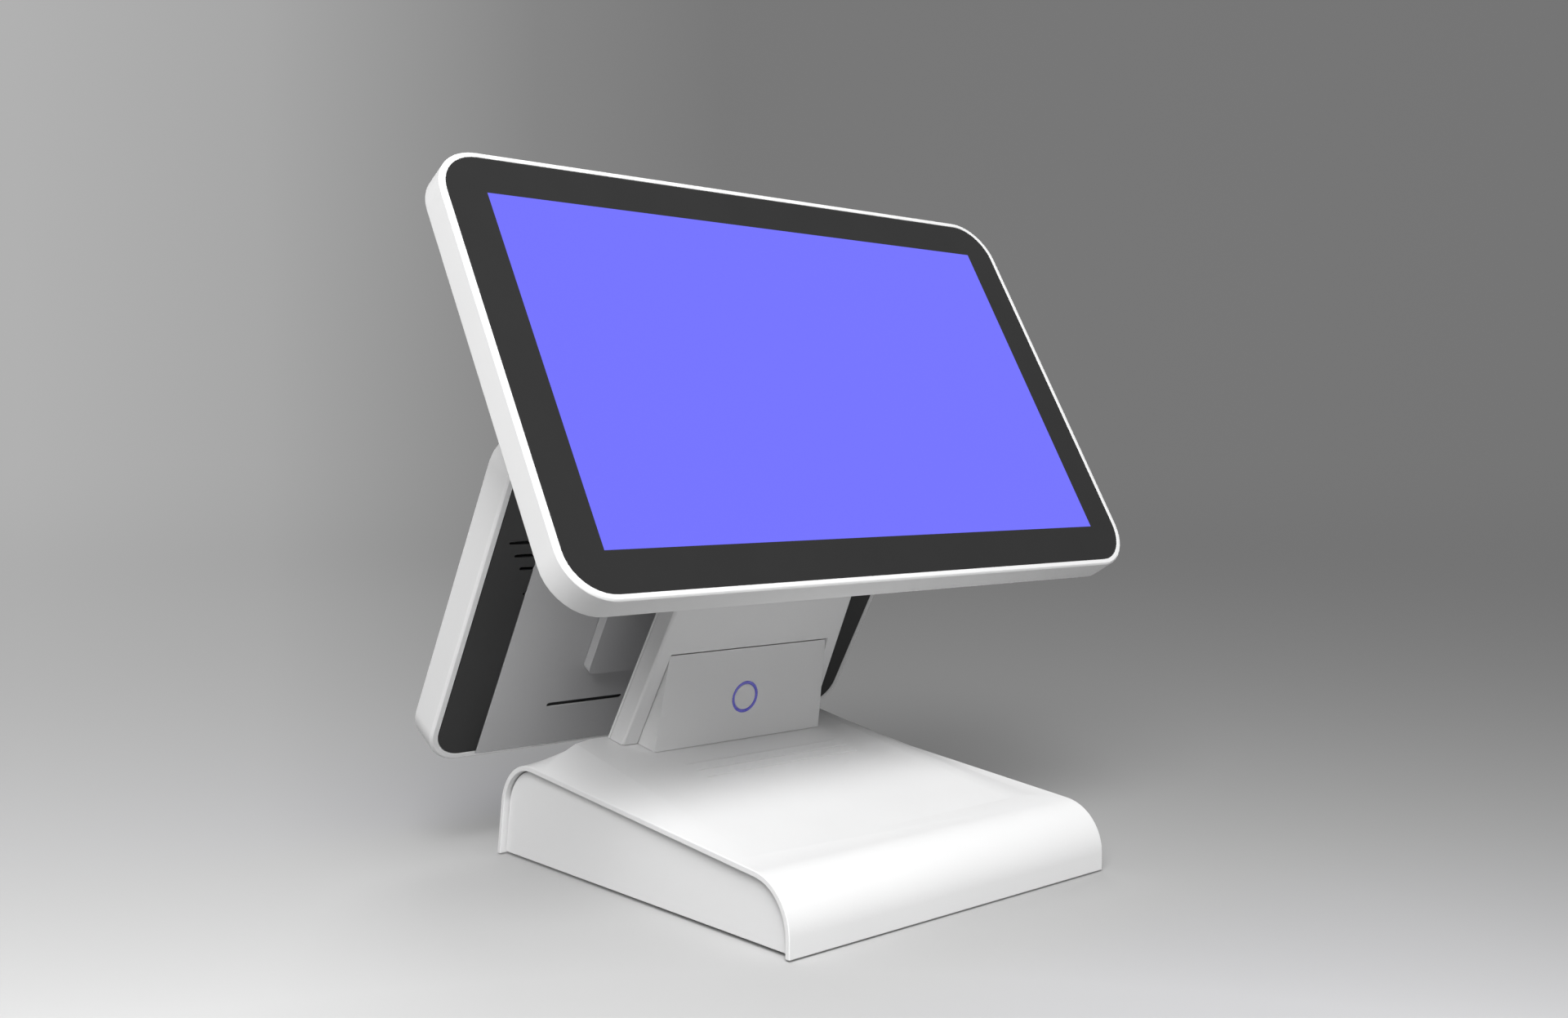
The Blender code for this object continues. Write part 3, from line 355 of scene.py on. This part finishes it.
# ---- Port panel and sockets ---------------------------------------------------------------------------
# A folded steel panel behind the opening at the back carries the sockets: drawn shells, moulded cores
# and sprung contacts.
moulding("port_panel", "base", zinc_sheet, "zinc_plated_steel", 0.0002, 1)
gloss = Finish("black_socket_plastic", 0.3)
gloss_haze = gloss.noise(0.002, 3.0)
gloss.set("Base Color", gloss.mix(gloss_haze, (0.009, 0.009, 0.01), (0.018, 0.018, 0.02)))
gloss.set("Roughness", gloss_haze * 0.15 + 0.24)
gloss.bump(gloss_haze, 0.00002)
for node in ("power_inlet", "drawer_socket"):
    moulding(node, "base", gloss.material, "black_socket_plastic", 0.0003)
for node in ("lan_socket", "usb_socket_a", "usb_socket_b"):
    moulding(node, "base", bright_steel, "bright_steel", 0.0002)


# ---- Socket contacts ----------------------------------------------------------------------------------
# The network socket has eight sprung gold contacts and two small light pipes, and each tongue in the
# square sockets has four flat contacts. All are set out in the port panel's own leaning axes.
REAR_LEAN = math.radians(9.05)
FOOT_GAP = 0.0010
BAY_MIDDLE = 0.0210
gold = drawn_steel("gold_flashed_contact", (0.85, 0.58, 0.22), 0.25, 0.0002)
pipe = Finish("frosted_light_pipe", 0.35, Emission_Strength=0.4)
pipe_haze = pipe.noise(0.0008, 2.0)
pipe.set("Base Color", pipe.mix(pipe_haze, (0.05, 0.30, 0.06), (0.10, 0.42, 0.10)))
pipe.set("Emission Color", pipe.mix(pipe_haze, (0.01, 0.30, 0.02), (0.02, 0.42, 0.04)))
bay = Matrix.Translation((0, base_high.y, FOOT_GAP)) @ Matrix.Rotation(REAR_LEAN, 4, "X")


def strip(bm, x, path, width, wall=0.0002):
    """A flat spring along (y, z) points, with its thickness."""
    y, z = path[0]
    ends = [bm.verts.new((x - width / 2, y, z)), bm.verts.new((x + width / 2, y, z))]
    edge = bm.edges.new(ends)
    faces = []
    for (y0, z0), (y1, z1) in zip(path, path[1:]):
        grown = bmesh.ops.extrude_edge_only(bm, edges=[edge])["geom"]
        points = [item for item in grown if isinstance(item, bmesh.types.BMVert)]
        bmesh.ops.translate(bm, vec=(0, y1 - y0, z1 - z0), verts=points)
        faces += [item for item in grown if isinstance(item, bmesh.types.BMFace)]
        edge = next(item for item in grown if isinstance(item, bmesh.types.BMEdge)
                    and all(vert in points for vert in item.verts))
    bmesh.ops.solidify(bm, geom=faces, thickness=wall)


bm = bmesh.new()
for index in range(8):
    x = -0.0040 + (index - 3.5) * 0.00102
    strip(bm, x, [(-0.0140, BAY_MIDDLE + 0.0045), (-0.0060, BAY_MIDDLE + 0.0043),
                  (-0.0052, BAY_MIDDLE + 0.0040), (-0.0110, BAY_MIDDLE + 0.0008)], 0.0005)
bmesh.ops.recalc_face_normals(bm, faces=bm.faces)
bm.transform(bay)
link("lan_socket_contacts", bm, gold, "base", slot="bright_steel")
for name, x in (("a", 0.0210), ("b", 0.0430)):
    bm = bmesh.new()
    for level in (-1, 1):
        top = BAY_MIDDLE + level * 0.0037 + 0.00092
        for index in range(4):
            strip(bm, x + (index - 1.5) * 0.0018,
                  [(-0.0130, top), (-0.0060, top), (-0.0057, top - 0.0003)], 0.0009, 0.00012)
    bmesh.ops.recalc_face_normals(bm, faces=bm.faces)
    bm.transform(bay)
    link(f"usb_socket_{name}_contacts", bm, gold, "base", slot="bright_steel")
for side, x in (("left", -0.0090), ("right", 0.0010)):
    bm = bmesh.new()
    bmesh.ops.create_circle(bm, cap_ends=True, segments=20, radius=0.0009)
    bmesh.ops.scale(bm, vec=(0.8, 0.8, 1), verts=grow(bm, bm.faces[:], (0, 0, 0.0003)))
    bmesh.ops.recalc_face_normals(bm, faces=bm.faces)
    bm.transform(bay @ Matrix.Translation((x, -0.00272, BAY_MIDDLE + 0.0060))
                 @ Matrix.Rotation(-math.pi / 2, 4, "X"))
    link(f"lan_light_{side}", bm, pipe.material, "base", slot="blue_light_guide")


# ---- Neck ---------------------------------------------------------------------------------------------
# A bent steel plate, bolted to the base's floor, carries both displays. A moulded front cover and a thin
# back cover hide it.
moulding("neck_front_cover", "base", white_plastic, "white_plastic", 0.0004)
moulding("neck_back_cover", "base", white_plastic, "white_plastic", 0.0004)
moulding("neck_frame", "base", zinc_sheet, "zinc_plated_steel", 0.0004, 1)
for side in ("left", "right"):
    screw_head(f"neck_bolt_{side}", "base", -DOWN)


# ---- Button housing and power button ------------------------------------------------------------------
# The housing is a moulded wedge in the neck's foot. A clear ring, lit blue from inside, surrounds the
# white push button.
moulding("button_housing", "base", white_plastic, "white_plastic", 0.0005)
ring = Finish("lit_light_guide", 0.3, Emission_Strength=1.0, Coat_Weight=0.4)
glow = ring.noise(0.004, 2.0)
ring.set("Base Color", ring.mix(glow, (0.03, 0.03, 0.10), (0.05, 0.05, 0.14)))
ring.set("Emission Color", ring.mix(glow, (0.038, 0.033, 0.200), (0.050, 0.043, 0.250)))
ring.set("Roughness", glow * 0.1 + 0.22)
moulding("button_ring", "base", ring.material, "blue_light_guide", 0.0002, 2)
bm = merged("power_button")
round_edges(bm, 0.0005, 3)
link("power_button_cap", bm, white_plastic, "power_button", "power_button", slot="white_plastic")


# ---- Displays -----------------------------------------------------------------------------------------
# Each display is a moulded frame around a glass with a printed black border. The lit picture lies
# behind it, a chassis plate, a black back panel and a light grey centre cover behind that.
glass = Finish("bordered_cover_glass")
smear = glass.noise(0.03, 4.0)
glass.set("Base Color", glass.mix(smear, (0.022, 0.022, 0.022), (0.026, 0.026, 0.026)))
glass.set("Roughness", smear * 0.10 + 0.09)
lit = Finish("lit_picture", Emission_Strength=1.0, Base_Color=(0.0, 0.0, 0.0))
cells = lit.noise(0.0006, 1.0)
lit.set("Emission Color", lit.mix(cells, (0.172, 0.168, 0.985), (0.182, 0.178, 1.0)))
lit.set("Roughness", lit.noise(0.03, 4.0) * 0.08 + 0.14)

grey_plastic = moulded("light_grey_moulded_plastic", (0.56, 0.56, 0.565), (0.52, 0.52, 0.53), 0.5)
black_plastic = moulded("black_moulded_plastic", (0.020, 0.020, 0.020), (0.015, 0.015, 0.015), 0.5)

PICTURES = {"main": (0.34370, 0.19330), "rear": (0.2561, 0.1440)}
PICTURE_PROUD = 0.00004
PICTURE_WALL = 0.0001


def face_axes(kind):
    """Middle of a display's glass face, with its directions across, up and out."""
    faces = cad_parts[f"{kind}_glass"].data.polygons
    towards = -1 if kind == "main" else 1
    front = max(faces, key=lambda face: face.area * (face.normal.y * towards > 0))
    out = front.normal.copy()
    low, high = (Vector(corner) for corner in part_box(f"{kind}_glass"))
    across = Vector((-towards, 0, 0))
    middle = (low + high) / 2
    middle += out * (front.center - middle).dot(out)
    return middle, across, out.cross(across), out


for kind, (width, height) in PICTURES.items():
    body = f"{kind}_display"
    moulding(f"{kind}_frame", body, white_plastic, "white_plastic", 0.00035, 3)
    moulding(f"{kind}_back_panel", body, black_plastic, "black_plastic", 0.0002)
    moulding(f"{kind}_centre_cover", body, grey_plastic, "light_grey_plastic", 0.0002)
    moulding(f"{kind}_chassis", body, zinc_sheet, "zinc_plated_steel", 0.0002, 1)
    moulding(f"{kind}_lcd", body, gloss.material, "lcd_panel", 0.0004)
    moulding(f"{kind}_glass", body, glass.material, "cover_glass", 0.0003)
    # the lit area: a thin sheet with eased edges over the glass's printed border
    bm = bmesh.new()
    bmesh.ops.create_grid(bm, x_segments=8, y_segments=4, size=0.5)
    bmesh.ops.scale(bm, vec=(width, height, 1), verts=bm.verts)
    bmesh.ops.solidify(bm, geom=bm.faces[:], thickness=PICTURE_WALL)
    top = max(vert.co.z for vert in bm.verts)
    bmesh.ops.translate(bm, vec=(0, 0, PICTURE_PROUD - top), verts=bm.verts)
    bmesh.ops.recalc_face_normals(bm, faces=bm.faces)
    middle, across, rise, out = face_axes(kind)
    bm.transform(Matrix.Translation(middle) @ Matrix((across, rise, out)).transposed().to_4x4())
    link(f"{kind}_lit_picture", bm, lit.material, body, slot="lcd_panel")


# ---- Cover screws -------------------------------------------------------------------------------------
# Four flat-headed steel screws with hexagonal recesses hold each centre cover. On the customer's display
# the lower two sit behind the neck.
def cover_screw(name, body, place, radius=0.0034, steps=24):
    """A flush head with a hexagonal recess, drawn with z out of the cover."""
    bm = bmesh.new()
    bmesh.ops.create_circle(bm, cap_ends=True, segments=steps, radius=radius)
    bmesh.ops.scale(bm, vec=(0.86, 0.86, 1), verts=grow(bm, bm.faces[:], (0, 0, 0.0005)))
    cap = topmost(bm.faces)
    bmesh.ops.inset_region(bm, faces=[cap], thickness=radius * 0.30)
    hexagonal(cap.verts, radius * 0.5)
    bmesh.ops.inset_region(bm, faces=[cap], thickness=0.00002, depth=-0.0004)
    bmesh.ops.recalc_face_normals(bm, faces=bm.faces)
    bm.transform(place)
    link(name, bm, bright_steel, body, slot="bright_steel")


SCREW_SPOTS = {
    "main": {"low": (0.050, -0.055), "high": (0.050, 0.055)},
    "rear": {"low": (0.020, -0.060), "high": (0.075, 0.070)},
}
for kind, rows in SCREW_SPOTS.items():
    middle, across, rise, out = face_axes(kind)
    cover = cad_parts[f"{kind}_centre_cover"].data.vertices
    behind = min((vert.co - middle).dot(out) for vert in cover)
    turn = Matrix((across, -rise, -out)).transposed().to_4x4()
    for row, (aside, above) in rows.items():
        for column, x in (("left", -aside), ("right", aside)):
            spot = middle + across * x + rise * above + out * behind
            cover_screw(f"{kind}_cover_screw_{row}_{column}", f"{kind}_display",
                        Matrix.Translation(spot) @ turn)


# ---- Hinges -------------------------------------------------------------------------------------------
# Each display turns on a turned steel shaft in a folded bracket, clamped between self-locking nuts that
# set its friction. A stamped leaf, held by screws, carries the display.
for kind in ("main", "rear"):
    body = f"{kind}_display"
    moulding(f"{kind}_hinge_bracket", "base", zinc_sheet, "zinc_plated_steel", 0.0003)
    moulding(f"{kind}_hinge_shaft", "base", bright_steel, "bright_steel", 0.0005, 2)
    for side in ("left", "right"):
        moulding(f"{kind}_hinge_nut_{side}", "base", bright_steel, "bright_steel", 0.0004, 2)
    leaf_finish = zinc_sheet if kind == "main" else grey_plastic
    leaf_slot = "zinc_plated_steel" if kind == "main" else "light_grey_plastic"
    moulding(f"{kind}_hinge_leaf", body, leaf_finish, leaf_slot, 0.0004)
for screw in ("a", "b", "c", "d"):
    screw_head(f"main_leaf_screw_{screw}", "main_display", -face_axes("main")[3])
for screw in ("left", "right"):
    screw_head(f"rear_leaf_screw_{screw}", "rear_display", -face_axes("rear")[3])


# ---- Studio -------------------------------------------------------------------------------------------
# A wide sheet of pale paper lies under the terminal. Near the terminal its colour holds painted light:
# it is painted lighter to the left, a painted pool of the light that falls from the left. Far away it
# glows with the backdrop's own grey, so that no horizon shows. Soft lamps stand high at the front left
# and behind; a dim glow from around and below fills the shadows, in place of the light the paper would throw
# back.
ACROSS = camera.matrix_basis.to_3x3() @ Vector((1, 0, 0))
AHEAD = Vector((-ACROSS.y, ACROSS.x, 0))
BACKDROP = [(0.0, 0.440), (0.16, 0.385), (0.34, 0.235), (0.46, 0.190), (1.0, 0.178)]
FILL = 0.34


def along(graph, place, direction):
    """How far a point or a ray reaches along a direction."""
    return graph.node("ShaderNodeVectorMath", {"operation": "DOT_PRODUCT"}, place, tuple(direction), out=1)


def backdrop(graph, side, depth, least):
    """Grey of the far studio by direction: lighter to the left, even to the right."""
    depth = graph.node("ShaderNodeMath", {"operation": "MAXIMUM"}, depth, least)
    return graph.node("ShaderNodeValToRGB", {"stops": BACKDROP}, side / depth + 0.5)


def lamp(name, where, power):
    """A square soft lamp, a metre wide, aimed at the terminal and kept out of its reflections."""
    data = bpy.data.lights.new(name, "AREA")
    data.size = 1.0
    data.energy = power
    item = bpy.data.objects.new(name, data)
    item.location = where
    item.rotation_euler = (-Vector(where)).to_track_quat("-Z", "Y").to_euler()
    item.visible_glossy = False
    bpy.context.scene.collection.objects.link(item)


bm = bmesh.new()
bmesh.ops.create_grid(bm, x_segments=2, y_segments=2, size=60)
mesh = bpy.data.meshes.new("floor")
bm.to_mesh(mesh)
bm.free()
floor = bpy.data.objects.new("floor", mesh)
floor.visible_diffuse = False
bpy.context.scene.collection.objects.link(floor)
paper = Finish("paper_floor", 0.8, Specular_IOR_Level=0.0, Emission_Strength=1.0)
side = along(paper, paper.place, ACROSS)
depth = along(paper, paper.place, AHEAD) - camera.location.dot(AHEAD)
away = paper.node("ShaderNodeVectorMath", {"operation": "DISTANCE"}, paper.place,
                  (camera.location.x, camera.location.y, 0), out=1)
nearness = paper.node("ShaderNodeMath", {"operation": "POWER", "use_clamp": True}, 0.65 / away, 1.6)
# painted light: the near paper is coloured lighter to the left, standing in for the light that falls from
# the left
near_paper_painted_light = paper.mix(paper.spread(side, 0.1, -0.6), (0.56, 0.56, 0.56), (0.73, 0.73, 0.73))
paper.set("Base Color", paper.mix(nearness, (0.0, 0.0, 0.0), near_paper_painted_light))
paper.set("Emission Color", paper.mix(nearness, backdrop(paper, side, depth, away * 0.2), (0.0, 0.0, 0.0)))
floor.data.materials.append(paper.material)

lamp("left_front", (-1.15, -1.05, 1.25), 37.5)
lamp("front_left", (-0.8, -1.2, 1.9), 25)
lamp("back_right", (0.9, 1.3, 1.7), 12)
world = bpy.data.worlds.new("studio")
world.use_nodes = True
sky = Graph(world.node_tree)
ray = sky.node("ShaderNodeTexCoord", {}, out="Generated")
surround = backdrop(sky, along(sky, ray, ACROSS), along(sky, ray, AHEAD), 0.2)
height = sky.spread(along(sky, ray, (0, 0, 1)), -0.2, 0.8)
fill = sky.mix(height, (FILL, FILL, FILL), (0.0, 0.0, 0.0))
path = sky.node("ShaderNodeLightPath", {}, out="Is Camera Ray")
shown = path + Value(sky, path.socket.node.outputs["Is Glossy Ray"])
shown = shown + Value(sky, path.socket.node.outputs["Is Transmission Ray"])
background = sky.tree.nodes["Background"]
sky.feed(background.inputs["Color"], sky.mix(shown, fill, surround))
background.inputs["Strength"].default_value = 1.0
bpy.context.scene.world = world
bpy.context.scene.view_settings.view_transform = "Standard"
